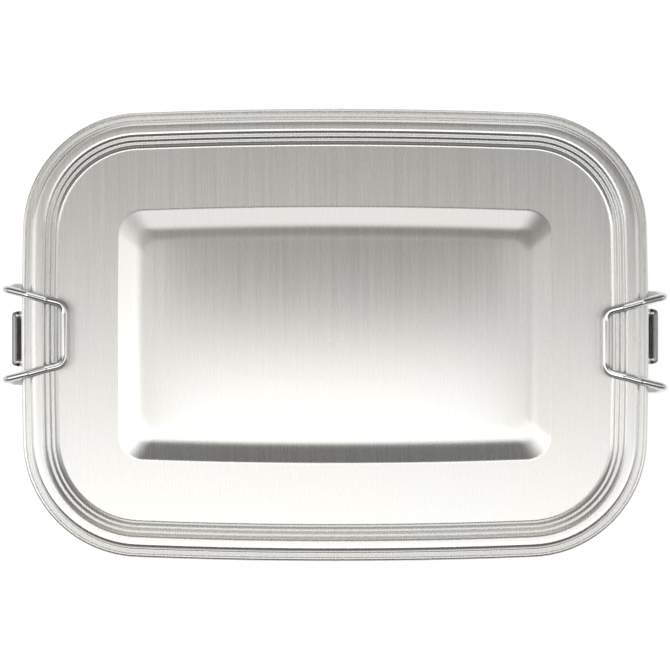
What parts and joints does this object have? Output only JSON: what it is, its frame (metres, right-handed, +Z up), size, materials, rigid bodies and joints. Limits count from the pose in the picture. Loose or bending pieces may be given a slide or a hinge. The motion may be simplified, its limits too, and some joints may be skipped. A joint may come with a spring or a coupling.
{
  "type": "lunch box",
  "caption": "Rectangular stainless steel lunch box with rounded corners, a lift-off lid with a raised panel, and a wire latch on each short side.",
  "frame": {"origin": "on the standing surface, under the centre of the box", "axes": "+X along the length towards the right latch, +Y along the width, +Z up through the lid"},
  "size_m": [0.1908, 0.13, 0.0625],
  "materials": {
    "lid_steel": "satin brushed",
    "tray_steel": "satin brushed",
    "latch_steel": "satin",
    "lever_steel": "polished",
    "wire": "polished",
    "silicone": "matte"
  },
  "bodies": {
    "tray_body": {"tray": "tray_steel", "left_bracket": "latch_steel", "left_pin": "latch_steel", "right_bracket": "latch_steel", "right_pin": "latch_steel"},
    "lid_body": {"lid": "lid_steel", "lid_seal": "silicone"},
    "left_lever_body": {"left_lever": "lever_steel"},
    "right_lever_body": {"right_lever": "lever_steel"},
    "left_bail_body": {"left_bail": "wire"},
    "right_bail_body": {"right_bail": "wire"}
  },
  "joints": [
    {"name": "lid_lift", "type": "slide", "parent": "tray_body", "child": "lid_body", "axis": [0, 0, 1], "range_m": [0, 0.00916]},
    {"name": "left_lever_pivot", "type": "hinge", "parent": "tray_body", "child": "left_lever_body", "pos_m": [-0.0874, -0.0011, 0.045], "axis": [0, 1, 0], "range_deg": [0, 105.5]},
    {"name": "left_bail_pivot", "type": "hinge", "parent": "left_lever_body", "child": "left_bail_body", "pos_m": [-0.0904, 0.0002, 0.0398], "axis": [0, -1, 0], "range_deg": [0, 200.5]},
    {"name": "right_lever_pivot", "type": "hinge", "parent": "tray_body", "child": "right_lever_body", "pos_m": [0.0874, -0.0004, 0.045], "axis": [0, -1, 0], "range_deg": [0, 105.5]},
    {"name": "right_bail_pivot", "type": "hinge", "parent": "right_lever_body", "child": "right_bail_body", "pos_m": [0.0904, -0.002, 0.0398], "axis": [0, 1, 0], "range_deg": [0, 200.5]}
  ],
  "couplings": [
    {"joint": "left_lever_pivot", "follows": "lid_lift", "rad_per_m": 200},
    {"joint": "left_bail_pivot", "follows": "lid_lift", "rad_per_m": 380},
    {"joint": "right_lever_pivot", "follows": "lid_lift", "rad_per_m": 200},
    {"joint": "right_bail_pivot", "follows": "lid_lift", "rad_per_m": 380}
  ]
}
